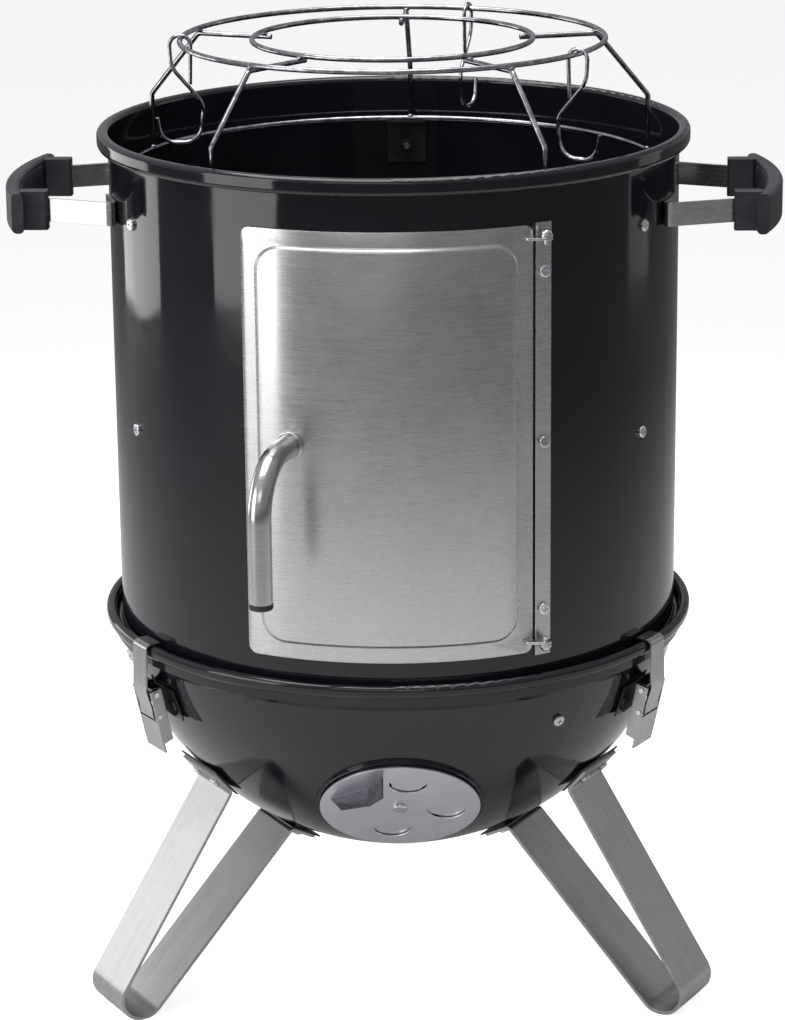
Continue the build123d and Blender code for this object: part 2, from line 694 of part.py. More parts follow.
spoke_height = rack_height - 2 * rack_wire - tap
with BuildPart() as rack_wires:
    for azimuth in rack_wire_azimuths:
        with BuildLine(radial_plane(azimuth)) as wire_path:
            FilletPolyline((rack_inner - 6.0, spoke_height), (rack_outer + 1.0, spoke_height),
                           (rack_base, 678.0), (rack_base, base_ring_height + rack_wire + tap),
                           radius=6.0)
        with BuildSketch(Plane(wire_path.line @ 0, z_dir=wire_path.line % 0)):
            Circle(rack_wire)
        sweep()
save(rack_wires.part, "rack_wires")

for number, azimuth in enumerate(hook_azimuths, start=1):
    with BuildPart() as s_hook:
        with BuildLine(radial_plane(azimuth)) as hook_path:
            crest = rack_height + rack_wire + hook_wire + 0.1
            FilletPolyline((rack_outer - 7.0, rack_height - 33.0), (rack_outer - 8.2, crest),
                           (rack_outer + 8.2, crest), (rack_outer + 7.0, rack_height - 20.0),
                           (rack_outer - 17.0, rack_height - 48.0),
                           (rack_outer - 14.0, rack_height - 77.0),
                           (rack_outer + 15.0, rack_height - 77.0),
                           (rack_outer + 18.5, rack_height - 58.0),
                           radius=(7.8, 7.8, 20.0, 16.0, 14.0, 12.5))
        with BuildSketch(Plane(hook_path.line @ 0, z_dir=hook_path.line % 0)):
            Circle(hook_wire)
        sweep()
    save(s_hook.part, f"s_hook_{number}")
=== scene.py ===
# %% [markdown]
# # A vertical water smoker, dressed for the studio
#
# The metalwork is already a measured CAD model. This notebook loads it as a fixed
# frame, lights it, gives each part a finish, and
# models again the few pieces whose soft, pressed or moulded shapes CAD only hints at.

# %% Load the frame
import json
import math

import bpy
from mathutils import Matrix, Vector


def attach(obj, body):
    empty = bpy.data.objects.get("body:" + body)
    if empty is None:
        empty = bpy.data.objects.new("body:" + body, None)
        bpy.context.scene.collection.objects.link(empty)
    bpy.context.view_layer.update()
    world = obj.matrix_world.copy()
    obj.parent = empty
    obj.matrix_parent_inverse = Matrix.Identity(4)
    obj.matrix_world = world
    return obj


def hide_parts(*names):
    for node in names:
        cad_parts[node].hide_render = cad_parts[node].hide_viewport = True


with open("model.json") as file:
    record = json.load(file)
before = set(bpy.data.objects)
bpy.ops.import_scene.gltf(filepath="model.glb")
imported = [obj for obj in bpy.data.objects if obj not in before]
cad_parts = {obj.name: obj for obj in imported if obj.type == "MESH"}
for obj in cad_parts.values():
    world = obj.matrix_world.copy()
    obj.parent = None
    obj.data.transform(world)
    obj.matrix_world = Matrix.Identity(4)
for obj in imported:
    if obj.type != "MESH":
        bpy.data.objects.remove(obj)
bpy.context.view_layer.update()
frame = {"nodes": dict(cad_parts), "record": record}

# %% [markdown]
# ## Camera
#
# A long lens, about 1.9 m in front of the barrel and a little above it, keeps the
# upright sides nearly parallel while we still look down into the open top. A long
# lens far away and a short lens close by frame the same object, but only the long one
# keeps the round rims flat. The tripod leans by half a degree.

# %% Set the camera
CAMERA_PLACE = (0.0, -2.5962, 1.1292)
LOOK_DOWN, LOOK_ASIDE, LEAN = -16.446, 0.08, -0.592     # degrees
LENS, SENSOR = 122.88, 36.0                            # millimetres

camera_data = bpy.data.cameras.new("camera")
camera_data.sensor_width = SENSOR
camera_data.lens = LENS
camera_data.clip_end = 60.0
camera = bpy.data.objects.new("camera", camera_data)
bpy.context.scene.collection.objects.link(camera)
camera.matrix_world = (
    Matrix.Translation(CAMERA_PLACE)
    @ Matrix.Rotation(math.radians(LOOK_ASIDE), 4, "Z")
    @ Matrix.Rotation(math.radians(90.0 + LOOK_DOWN), 4, "X")
    @ Matrix.Rotation(math.radians(LEAN), 4, "Z")
)
bpy.context.scene.camera = camera
print("camera", [round(v, 3) for v in camera.location], "lens", LENS, "mm")

# %% [markdown]
# ## Floor and light
#
# A product like this is shot on a white sweep between big soft boxes. Enamel and steel
# show the room more than themselves, so the room matters: brighter on the left, dimmer
# on the right, darkest behind the camera. A painted environment picture would do it in
# one step, but lamps and a plain sky of two greys are easier to move and to understand.

# %% Lay the floor
FLOOR_SIZE = 60.0
bpy.ops.object.select_all(action="DESELECT")
bpy.ops.mesh.primitive_plane_add(size=FLOOR_SIZE)
floor = bpy.context.object
floor.name = "studio_floor"

floor_paint = bpy.data.materials.new("white studio floor")
floor_paint.use_nodes = True
floor_tree = floor_paint.node_tree
floor_tree.nodes.clear()
FLOOR_GLOW = 0.80         # a lit sweep, seen straight by the camera
SHEET_NEAR, SHEET_FAR = 0.5, 2.2                      # metres: white sheet, then grey further out as painted shade
SHEET_WHITE, FAR_FLOOR_SHADE = 0.78, 0.22
floor_out = floor_tree.nodes.new("ShaderNodeOutputMaterial")
floor_sum = floor_tree.nodes.new("ShaderNodeAddShader")
floor_matt = floor_tree.nodes.new("ShaderNodeBsdfDiffuse")
floor_coord = floor_tree.nodes.new("ShaderNodeTexCoord")
floor_distance = floor_tree.nodes.new("ShaderNodeVectorMath")
floor_distance.operation = "LENGTH"
# Further out the floor turns grey. This is painted shade, so the far floor shows dim in the smoker's
# reflections.
floor_painted_shade = floor_tree.nodes.new("ShaderNodeMapRange")
floor_painted_shade.interpolation_type = "SMOOTHSTEP"
floor_painted_shade.inputs["From Min"].default_value = SHEET_NEAR
floor_painted_shade.inputs["From Max"].default_value = SHEET_FAR
floor_painted_shade.inputs["To Min"].default_value = SHEET_WHITE
floor_painted_shade.inputs["To Max"].default_value = FAR_FLOOR_SHADE
floor_tree.links.new(floor_coord.outputs["Object"], floor_distance.inputs[0])
floor_tree.links.new(floor_distance.outputs["Value"], floor_painted_shade.inputs["Value"])
floor_tree.links.new(floor_painted_shade.outputs[0], floor_matt.inputs["Color"])
floor_light = floor_tree.nodes.new("ShaderNodeEmission")
floor_ray = floor_tree.nodes.new("ShaderNodeLightPath")
floor_strength = floor_tree.nodes.new("ShaderNodeMath")
floor_strength.operation = "MULTIPLY"
floor_strength.inputs[1].default_value = FLOOR_GLOW
floor_tree.links.new(floor_ray.outputs["Is Camera Ray"], floor_strength.inputs[0])
floor_tree.links.new(floor_strength.outputs[0], floor_light.inputs["Strength"])
floor_tree.links.new(floor_matt.outputs[0], floor_sum.inputs[0])
floor_tree.links.new(floor_light.outputs[0], floor_sum.inputs[1])
floor_tree.links.new(floor_sum.outputs[0], floor_out.inputs["Surface"])
floor.data.materials.append(floor_paint)
print("floor", FLOOR_SIZE, "m wide")

# %% Hang the sky and the soft boxes
SKY_LEFT, SKY_RIGHT, SKY_TOP = 0.46, 0.27, 0.22

world = bpy.data.worlds.new("studio sky")
bpy.context.scene.world = world
world.use_nodes = True
sky = world.node_tree
sky.nodes.clear()
sky_out = sky.nodes.new("ShaderNodeOutputWorld")
sky_coord = sky.nodes.new("ShaderNodeTexCoord")
sky_split = sky.nodes.new("ShaderNodeSeparateXYZ")
sky.links.new(sky_coord.outputs["Generated"], sky_split.inputs[0])
sky_side = sky.nodes.new("ShaderNodeMapRange")
sky_side.interpolation_type = "SMOOTHSTEP"
sky_side.inputs["From Min"].default_value = -0.8
sky_side.inputs["From Max"].default_value = 0.5
sky_side.inputs["To Min"].default_value = SKY_LEFT
sky_side.inputs["To Max"].default_value = SKY_RIGHT
sky.links.new(sky_split.outputs["X"], sky_side.inputs["Value"])
sky_up = sky.nodes.new("ShaderNodeMapRange")
sky_up.interpolation_type = "SMOOTHSTEP"
sky_up.inputs["From Min"].default_value = 0.35
sky_up.inputs["From Max"].default_value = 0.95
sky_up.inputs["To Min"].default_value = 0.0
sky_up.inputs["To Max"].default_value = SKY_TOP
sky.links.new(sky_split.outputs["Z"], sky_up.inputs["Value"])
sky_add = sky.nodes.new("ShaderNodeMath")
sky_add.operation = "ADD"
sky.links.new(sky_side.outputs[0], sky_add.inputs[0])
sky.links.new(sky_up.outputs[0], sky_add.inputs[1])
room_light = sky.nodes.new("ShaderNodeBackground")
room_light.inputs["Color"].default_value = (0.94, 0.97, 1.0, 1.0)
sky.links.new(sky_add.outputs[0], room_light.inputs["Strength"])
plain_white = sky.nodes.new("ShaderNodeBackground")
plain_white.inputs["Strength"].default_value = 1.05
sky_mix = sky.nodes.new("ShaderNodeMixShader")
sky_ray = sky.nodes.new("ShaderNodeLightPath")
sky.links.new(sky_ray.outputs["Is Camera Ray"], sky_mix.inputs[0])
sky.links.new(room_light.outputs[0], sky_mix.inputs[1])
sky.links.new(plain_white.outputs[0], sky_mix.inputs[2])
sky.links.new(sky_mix.outputs[0], sky_out.inputs["Surface"])


def soft_box(name, place, aim, width, height, watts, tint=(1.0, 1.0, 1.0)):
    """A rectangular soft box at a place, turned to face a point on the smoker."""
    data = bpy.data.lights.new(name, "AREA")
    data.shape = "RECTANGLE"
    data.size, data.size_y = width, height
    data.energy = watts
    data.color = tint
    box = bpy.data.objects.new(name, data)
    bpy.context.scene.collection.objects.link(box)
    box.location = place
    box.rotation_mode = "QUATERNION"
    box.rotation_quaternion = (Vector(aim) - Vector(place)).to_track_quat("-Z", "Y")
    return box


soft_box("left box", (-2.1, -1.25, 0.75), (0.0, 0.0, 0.35), 1.3, 2.0, 22.0)
soft_box("rear left box", (-2.0, 1.15, 0.42), (0.0, 0.0, 0.2), 1.3, 0.8, 8.0)
soft_box("rear right box", (2.3, 0.9, 0.8), (0.0, 0.0, 0.4), 0.7, 1.6, 1.6)
soft_box("top box", (-0.3, 0.1, 2.8), (0.0, 0.0, 0.4), 2.4, 2.0, 60.0)
soft_box("front fill", (-0.6, -3.4, 2.3), (0.0, 0.0, 0.4), 2.0, 1.0, 8.0)

view = bpy.context.scene.view_settings
view.view_transform = "Standard"
view.look = "None"

# %% [markdown]
# ## Finishes: the shared effects
#
# A finish is seldom one colour. Brushed steel is thousands of fine lines, enamel has
# a slightly wavy skin, and every handled surface carries soft smudges. Each of these
# could be drawn again inside every material; built once as a node group with named
# inputs, it can be placed in many materials with different values.

# %% Helpers for node work
def add_node(tree, kind, **settings):
    """A new node with its own settings."""
    made = tree.nodes.new(kind)
    for name, value in settings.items():
        setattr(made, name, value)
    return made


def join(tree, source, target):
    """A noodle from one socket to another."""
    tree.links.new(source, target)


def span(tree, source, low, high, from_low=0.0, from_high=1.0):
    """A Map Range node: the source's range is stretched to run from low to high."""
    mapped = add_node(tree, "ShaderNodeMapRange")
    mapped.inputs["From Min"].default_value = from_low
    mapped.inputs["From Max"].default_value = from_high
    mapped.inputs["To Min"].default_value = low
    mapped.inputs["To Max"].default_value = high
    join(tree, source, mapped.inputs["Value"])
    return mapped.outputs[0]


def new_group(name, inputs, outputs):
    """An empty shader node group with named sockets."""
    group = bpy.data.node_groups.new(name, "ShaderNodeTree")
    for title, kind, value in inputs:
        socket = group.interface.new_socket(title, in_out="INPUT", socket_type=kind)
        if value is not None:
            socket.default_value = value
    for title, kind in outputs:
        group.interface.new_socket(title, in_out="OUTPUT", socket_type=kind)
    return group, group.nodes.new("NodeGroupInput"), group.nodes.new("NodeGroupOutput")


# %% Brushed grain
# The pattern is squeezed along one direction, the one across the brush strokes.
grain_group, given, put_out = new_group(
    "brushed grain",
    [("Vector", "NodeSocketVector", None), ("Across", "NodeSocketVector", None),
     ("Lines", "NodeSocketFloat", 900.0), ("Stretch", "NodeSocketFloat", 60.0)],
    [("Fine", "NodeSocketFloat"), ("Bands", "NodeSocketFloat")],
)
across_amount = add_node(grain_group, "ShaderNodeVectorMath", operation="DOT_PRODUCT")
join(grain_group, given.outputs["Vector"], across_amount.inputs[0])
join(grain_group, given.outputs["Across"], across_amount.inputs[1])
across_part = add_node(grain_group, "ShaderNodeVectorMath", operation="SCALE")
join(grain_group, given.outputs["Across"], across_part.inputs[0])
join(grain_group, across_amount.outputs["Value"], across_part.inputs["Scale"])
stretch_share = add_node(grain_group, "ShaderNodeMath", operation="DIVIDE")
stretch_share.inputs[0].default_value = 1.0
join(grain_group, given.outputs["Stretch"], stretch_share.inputs[1])
along_part = add_node(grain_group, "ShaderNodeVectorMath", operation="SCALE")
join(grain_group, given.outputs["Vector"], along_part.inputs[0])
join(grain_group, stretch_share.outputs[0], along_part.inputs["Scale"])
squeezed = add_node(grain_group, "ShaderNodeVectorMath", operation="ADD")
join(grain_group, across_part.outputs[0], squeezed.inputs[0])
join(grain_group, along_part.outputs[0], squeezed.inputs[1])
fine_lines = add_node(grain_group, "ShaderNodeTexNoise")
fine_lines.inputs["Detail"].default_value = 2.0
join(grain_group, squeezed.outputs[0], fine_lines.inputs["Vector"])
join(grain_group, given.outputs["Lines"], fine_lines.inputs["Scale"])
coarse_scale = add_node(grain_group, "ShaderNodeMath", operation="MULTIPLY")
coarse_scale.inputs[1].default_value = 0.18
join(grain_group, given.outputs["Lines"], coarse_scale.inputs[0])
broad_lines = add_node(grain_group, "ShaderNodeTexNoise")
broad_lines.inputs["Detail"].default_value = 1.0
join(grain_group, squeezed.outputs[0], broad_lines.inputs["Vector"])
join(grain_group, coarse_scale.outputs[0], broad_lines.inputs["Scale"])
join(grain_group, span(grain_group, fine_lines.outputs[0], 0, 1, 0.3, 0.7), put_out.inputs["Fine"])
join(grain_group, span(grain_group, broad_lines.outputs[0], 0, 1, 0.3, 0.7), put_out.inputs["Bands"])
print("group", grain_group.name)

# %% Smudges, for gloss that is never even
smudge_group, given, put_out = new_group(
    "smudges",
    [("Vector", "NodeSocketVector", None), ("Size", "NodeSocketFloat", 9.0),
     ("Clean", "NodeSocketFloat", 0.06), ("Smudged", "NodeSocketFloat", 0.12)],
    [("Value", "NodeSocketFloat")],
)
clouds = add_node(smudge_group, "ShaderNodeTexNoise")
clouds.inputs["Detail"].default_value = 5.0
clouds.inputs["Roughness"].default_value = 0.6
clouds.inputs["Distortion"].default_value = 0.6
join(smudge_group, given.outputs["Vector"], clouds.inputs["Vector"])
join(smudge_group, given.outputs["Size"], clouds.inputs["Scale"])
smudge_level = add_node(smudge_group, "ShaderNodeMapRange", interpolation_type="SMOOTHSTEP")
smudge_level.inputs["From Min"].default_value = 0.35
smudge_level.inputs["From Max"].default_value = 0.7
join(smudge_group, clouds.outputs[0], smudge_level.inputs["Value"])
join(smudge_group, given.outputs["Clean"], smudge_level.inputs["To Min"])
join(smudge_group, given.outputs["Smudged"], smudge_level.inputs["To Max"])
join(smudge_group, smudge_level.outputs[0], put_out.inputs["Value"])
print("group", smudge_group.name)

# %% Soft edges: a rounded shading normal, and a painted highlight along each edge
edge_rounding_and_highlight_group, given, put_out = new_group(
    "soft edges and painted edge highlight",
    [("Radius", "NodeSocketFloat", 0.0006)],
    [("Normal", "NodeSocketVector"), ("Painted Edge Highlight", "NodeSocketFloat")],
)
rounder = add_node(edge_rounding_and_highlight_group, "ShaderNodeBevel", samples=4)
join(edge_rounding_and_highlight_group, given.outputs["Radius"], rounder.inputs["Radius"])
surface = add_node(edge_rounding_and_highlight_group, "ShaderNodeNewGeometry")
likeness = add_node(edge_rounding_and_highlight_group, "ShaderNodeVectorMath", operation="DOT_PRODUCT")
join(edge_rounding_and_highlight_group, rounder.outputs[0], likeness.inputs[0])
join(edge_rounding_and_highlight_group, surface.outputs["Normal"], likeness.inputs[1])
join(edge_rounding_and_highlight_group, rounder.outputs[0], put_out.inputs["Normal"])
# The edge output is a painted highlight. It lightens the base colour where the rounded normal turns
# away.
join(edge_rounding_and_highlight_group, span(edge_rounding_and_highlight_group, likeness.outputs["Value"], 1, 0, 0.75, 0.99), put_out.inputs["Painted Edge Highlight"])
print("group", edge_rounding_and_highlight_group.name)


def place_group(tree, group, **values):
    """A node that holds a group, with its own values on the group's inputs."""
    holder = add_node(tree, "ShaderNodeGroup")
    holder.node_tree = group
    for name, value in values.items():
        holder.inputs[name].default_value = value
    return holder


def start_finish(name, colour, metal=0.0, rough=0.5):
    """A new material with its Principled shader and the piece's own coordinates."""
    finish = bpy.data.materials.new(name)
    finish.use_nodes = True
    tree = finish.node_tree
    shader = tree.nodes["Principled BSDF"]
    shader.inputs["Base Color"].default_value = (*colour, 1.0)
    shader.inputs["Metallic"].default_value = metal
    shader.inputs["Roughness"].default_value = rough
    place = add_node(tree, "ShaderNodeTexCoord").outputs["Object"]
    return finish, tree, shader, place


def two_tone(tree, mask, dark, light):
    """A colour that runs from dark to light with a mask."""
    mixer = add_node(tree, "ShaderNodeMix", data_type="RGBA")
    join(tree, mask, mixer.inputs["Factor"])
    mixer.inputs["A"].default_value = (*dark, 1.0)
    mixer.inputs["B"].default_value = (*light, 1.0)
    return mixer.outputs["Result"]


def bump(tree, shader, height, strength, distance, normal=None):
    """Fine relief from a height, on top of an already softened normal if one is given."""
    relief = add_node(tree, "ShaderNodeBump")
    relief.inputs["Strength"].default_value = strength
    relief.inputs["Distance"].default_value = distance
    join(tree, height, relief.inputs["Height"])
    if normal is not None:
        join(tree, normal, relief.inputs["Normal"])
    join(tree, relief.outputs[0], shader.inputs["Normal"])

# %% [markdown]
# ## Finishes: vitreous enamel
#
# The bowl, barrel and pan are pressed steel dipped in glass enamel. It is black and
# very glossy, with a skin that is never quite flat, so long reflections wander a
# little. A clear coat over paint would look alike, but enamel is a single glass layer:
# one shader with a low roughness, a faint blue in its black and a soft, wide bump.

# %% Mix the enamels
def enamel(name, colour, clean, smudged, waviness):
    finish, tree, shader, place = start_finish(name, colour)
    shader.inputs["IOR"].default_value = 1.53
    smudges = place_group(tree, smudge_group, Size=11.0, Clean=clean, Smudged=smudged)
    join(tree, place, smudges.inputs["Vector"])
    join(tree, smudges.outputs["Value"], shader.inputs["Roughness"])
    tone = place_group(tree, smudge_group, Size=4.0, Clean=0.0, Smudged=1.0)
    join(tree, place, tone.inputs["Vector"])
    lighter = tuple(min(1.0, channel * 1.5) for channel in colour)
    join(tree, two_tone(tree, tone.outputs["Value"], colour, lighter), shader.inputs["Base Color"])
    waves = add_node(tree, "ShaderNodeTexNoise")
    waves.inputs["Scale"].default_value = 26.0
    waves.inputs["Detail"].default_value = 1.0
    join(tree, place, waves.inputs["Vector"])
    peel = add_node(tree, "ShaderNodeTexNoise")
    peel.inputs["Scale"].default_value = 420.0
    peel.inputs["Detail"].default_value = 1.0
    join(tree, place, peel.inputs["Vector"])
    skin = add_node(tree, "ShaderNodeMath", operation="MULTIPLY_ADD")
    skin.inputs[1].default_value = 0.012
    join(tree, peel.outputs[0], skin.inputs[0])
    join(tree, waves.outputs[0], skin.inputs[2])
    bump(tree, shader, skin.outputs[0], waviness, 0.0012)
    return finish


finishes = {}
finishes["black_enamel"] = enamel("black vitreous enamel", (0.0075, 0.0082, 0.0105), 0.05, 0.11, 0.10)
finishes["pan_enamel"] = enamel("pan enamel", (0.010, 0.010, 0.012), 0.09, 0.20, 0.16)
print("enamels mixed")

# %% [markdown]
# ## Finishes: stainless steel
#
# The door, legs, straps and clamps are brushed stainless sheet. The brush leaves lines
# that spread a reflection at right angles to themselves. Real scratches modelled one by
# one would flicker, so the shader's anisotropy spreads the reflection and the grain group
# only tints it. The direction across the strokes is a vector on each material, because
# the door is brushed level and each leg is brushed along its own length.

# %% Brush the steel
FINE_SHARE, BAND_SHARE = 0.34, 0.06     # how much the fine strokes and the broad ones show


def brushed_steel(name, across, dark, light, rough=(0.24, 0.36), anisotropy=0.7,
                  lines=1100.0, stretch=70.0, edge=0.0005, relief=0.05):
    finish, tree, shader, place = start_finish(name, light, metal=1.0, rough=0.3)
    shader.inputs["Anisotropic"].default_value = anisotropy
    direction = add_node(tree, "ShaderNodeCombineXYZ")
    for axis, amount in zip("XYZ", across):
        direction.inputs[axis].default_value = amount
    join(tree, direction.outputs[0], shader.inputs["Tangent"])
    grain = place_group(tree, grain_group, Lines=lines, Stretch=stretch)
    join(tree, place, grain.inputs["Vector"])
    join(tree, direction.outputs[0], grain.inputs["Across"])
    smudges = place_group(tree, smudge_group, Size=14.0, Clean=0.0, Smudged=1.0)
    join(tree, place, smudges.inputs["Vector"])
    shade = add_node(tree, "ShaderNodeMath", operation="MULTIPLY_ADD")
    shade.inputs[1].default_value = FINE_SHARE
    join(tree, grain.outputs["Fine"], shade.inputs[0])
    bands = span(tree, grain.outputs["Bands"], 0.0, BAND_SHARE)
    join(tree, bands, shade.inputs[2])
    hazed = add_node(tree, "ShaderNodeMath", operation="MULTIPLY_ADD", use_clamp=True)
    hazed.inputs[1].default_value = 0.25
    join(tree, smudges.outputs["Value"], hazed.inputs[0])
    join(tree, shade.outputs[0], hazed.inputs[2])
    edge_rounding_and_highlight = place_group(tree, edge_rounding_and_highlight_group, Radius=edge)
    # The base colour turns light along edges, a painted highlight, over the real grain and smudges.
    marks_and_edge_highlight = add_node(tree, "ShaderNodeMath", operation="MAXIMUM", use_clamp=True)
    join(tree, hazed.outputs[0], marks_and_edge_highlight.inputs[0])
    join(tree, edge_rounding_and_highlight.outputs["Painted Edge Highlight"], marks_and_edge_highlight.inputs[1])
    join(tree, two_tone(tree, marks_and_edge_highlight.outputs[0], dark, light), shader.inputs["Base Color"])
    join(tree, span(tree, hazed.outputs[0], *rough), shader.inputs["Roughness"])
    bump(tree, shader, grain.outputs["Fine"], relief, 0.0002, edge_rounding_and_highlight.outputs["Normal"])
    return finish


UP = (0.0, 0.0, 1.0)
STEEL_DARK, STEEL_LIGHT = (0.52, 0.515, 0.505), (0.68, 0.68, 0.67)
finishes["stainless"] = brushed_steel("brushed stainless", UP, STEEL_DARK, STEEL_LIGHT,
                                      lines=1900.0, stretch=60.0, relief=0.015)
# The vent's steel is lighter than the brushed stainless. This is painted light, standing in for the
# bright floor it mirrors.
vent_lit_steel = brushed_steel("vent stainless, painted light", UP, (0.76, 0.755, 0.80), (0.89, 0.88, 0.93),
                           rough=(0.30, 0.38), anisotropy=0.2, lines=700.0, stretch=12.0)
tube_steel = brushed_steel("turned tube steel", UP, (0.48, 0.48, 0.47), (0.74, 0.735, 0.72),
                           rough=(0.16, 0.26), anisotropy=0.3, lines=1800.0,
                           stretch=90.0, relief=0.015)


def across_at(azimuth):
    """The level direction along a strap's width, for a strap that stands at an azimuth."""
    turn = math.radians(azimuth)
    return (math.cos(turn), math.sin(turn), 0.0)


print("steels brushed")

# %% [markdown]
# ## Finishes: screws, wire, coatings and plastics
#
# Small parts are zinc or nickel plated, so they need a bright metal with a little
# blotchiness. The wire of the rack is chromed; its dark colour is a painted reflection
# of the black barrel it mirrors.
# The grips are moulded in a plastic with a fine leathery grain, which a noise bump gives.

# %% Mix the small finishes
def plated(name, dark, light, rough, size=60.0, edge=0.0004):
    finish, tree, shader, place = start_finish(name, light, metal=1.0)
    blotches = place_group(tree, smudge_group, Size=size, Clean=0.0, Smudged=1.0)
    join(tree, place, blotches.inputs["Vector"])
    edge_rounding_and_highlight = place_group(tree, edge_rounding_and_highlight_group, Radius=edge)
    join(tree, edge_rounding_and_highlight.outputs["Normal"], shader.inputs["Normal"])
    # The base colour turns light along edges, a painted highlight, over the real blotches.
    marks_and_edge_highlight = add_node(tree, "ShaderNodeMath", operation="MAXIMUM", use_clamp=True)
    join(tree, blotches.outputs["Value"], marks_and_edge_highlight.inputs[0])
    join(tree, edge_rounding_and_highlight.outputs["Painted Edge Highlight"], marks_and_edge_highlight.inputs[1])
    join(tree, two_tone(tree, marks_and_edge_highlight.outputs[0], dark, light), shader.inputs["Base Color"])
    join(tree, span(tree, blotches.outputs["Value"], *rough), shader.inputs["Roughness"])
    return finish


def moulded(name, colour, rough, grain_size, grain_depth, edge=0.0006):
    finish, tree, shader, place = start_finish(name, colour)
    patches = place_group(tree, smudge_group, Size=30.0, Clean=0.0, Smudged=1.0)
    join(tree, place, patches.inputs["Vector"])
    edge_rounding_and_highlight = place_group(tree, edge_rounding_and_highlight_group, Radius=edge)
    # The base colour turns lighter along edges, a painted highlight, added to the random patches.
    marks_and_edge_highlight = add_node(tree, "ShaderNodeMath", operation="MULTIPLY_ADD", use_clamp=True)
    marks_and_edge_highlight.inputs[1].default_value = 0.6
    join(tree, edge_rounding_and_highlight.outputs["Painted Edge Highlight"], marks_and_edge_highlight.inputs[0])
    join(tree, patches.outputs["Value"], marks_and_edge_highlight.inputs[2])
    lighter = tuple(channel * 2.1 for channel in colour)
    join(tree, two_tone(tree, marks_and_edge_highlight.outputs[0], colour, lighter), shader.inputs["Base Color"])
    join(tree, span(tree, patches.outputs["Value"], *rough), shader.inputs["Roughness"])
    pebbles = add_node(tree, "ShaderNodeTexVoronoi", feature="SMOOTH_F1")
    pebbles.inputs["Scale"].default_value = grain_size
    join(tree, place, pebbles.inputs["Vector"])
    bump(tree, shader, pebbles.outputs["Distance"], grain_depth, 0.0004, edge_rounding_and_highlight.outputs["Normal"])
    return finish


finishes["bright_fasteners"] = plated("bright zinc", (0.52, 0.52, 0.53), (0.86, 0.86, 0.88),
                                      (0.13, 0.26))
# The wire's dark colour is a painted reflection of the black barrel.
finishes["wire_chrome"] = plated("chrome wire, painted dark reflection", (0.26, 0.26, 0.28), (0.56, 0.56, 0.58),
                                 (0.10, 0.20), 90.0)
finishes["plated_steel"] = plated("plain plated steel", (0.20, 0.20, 0.21), (0.42, 0.42, 0.43),
                                  (0.28, 0.45), 35.0)
finishes["black_coating"] = moulded("satin black coating", (0.008, 0.008, 0.009), (0.28, 0.42),
                                    900.0, 0.08)
finishes["black_plastic"] = moulded("moulded grip plastic", (0.017, 0.018, 0.022), (0.40, 0.52),
                                    1500.0, 0.35)
finishes["cap_rubber"] = moulded("cap rubber", (0.012, 0.012, 0.013), (0.42, 0.55), 1200.0, 0.12)
print("finishes", sorted(finishes))

# %% Give every CAD node the finish of its slot
def paint(piece, finish):
    """The piece wears one finish all over."""
    piece.data.materials.clear()
    piece.data.materials.append(finish)


for row in frame["record"]["subparts"]:
    paint(frame["nodes"][row["node"]], finishes[row["material_slot"]])
# Legs and clamps wear darker copies of the brushed stainless. This is painted shade.
LEG_SHADED_DARK = (0.31, 0.31, 0.305)
LEG_SHADED_LIGHT, CLAMP_SHADED_LIGHT = (0.53, 0.53, 0.52), (0.55, 0.55, 0.55)
LEG_AZIMUTHS = {"leg_front_left": -60.0, "leg_front_right": 60.0, "leg_back": 180.0}
for name, azimuth in LEG_AZIMUTHS.items():
    paint(frame["nodes"][name], brushed_steel(name + " steel", across_at(azimuth), LEG_SHADED_DARK,
                                              LEG_SHADED_LIGHT, rough=(0.26, 0.38), lines=800.0))
CLAMP_AZIMUTHS = (-57.5, 57.5, 180.0)
for number, azimuth in enumerate(CLAMP_AZIMUTHS, start=1):
    clamp_shaded_steel = brushed_steel(f"clamp {number} steel", across_at(azimuth), LEG_SHADED_DARK,
                                CLAMP_SHADED_LIGHT, rough=(0.22, 0.34), lines=900.0)
    for part in ("lever", "hook"):
        paint(frame["nodes"][f"clamp_{part}_{number}"], clamp_shaded_steel)
for name in ("vent_plate", "vent_damper"):
    paint(frame["nodes"][name], vent_lit_steel)
for name in ("door_handle_tube", "handle_rose"):
    paint(frame["nodes"][name], tube_steel)
# painted dark to sit back against the wall; plated steel and bright zinc would be truer
for name in ("upper_brackets", "bracket_nuts"):
    paint(frame["nodes"][name], finishes["black_coating"])

# %% Darken the finger tab with painted shade
# The tab's walls are part of the disc, so they are told apart by how far they stand off it.
# Their darker steel is chosen.
VENT_TILT, BOWL_CENTRE, DISC_FACE = math.radians(41.0), 0.3234, 0.2181
disc_normal = Vector((0.0, -math.cos(VENT_TILT), -math.sin(VENT_TILT)))
TAB_START = 0.0015
tab_shaded_steel = brushed_steel("tab steel, painted shade", UP, (0.07, 0.07, 0.08), (0.16, 0.16, 0.18),
                          rough=(0.25, 0.35), anisotropy=0.2, lines=700.0, stretch=12.0)
damper = frame["nodes"]["vent_damper"]
damper.data.materials.append(tab_shaded_steel)
for face in damper.data.polygons:
    standing = (face.center - Vector((0.0, 0.0, BOWL_CENTRE))).dot(disc_normal) - DISC_FACE
    if standing > TAB_START:
        face.material_index = 1
print("painted", len(frame["nodes"]), "nodes, tab faces darkened")

# %% [markdown]
# The door is the one large sheet of bare steel. It could be made by shearing a sheet with round
# corners, pressing a flat raised field into it, and rolling it to the barrel's curve. Here it is
# modelled in that order: flat outline, pressed field, then the bend, then the sheet's thickness,
# because a flat sheet is easy to cut evenly and the bend keeps every edge line true.

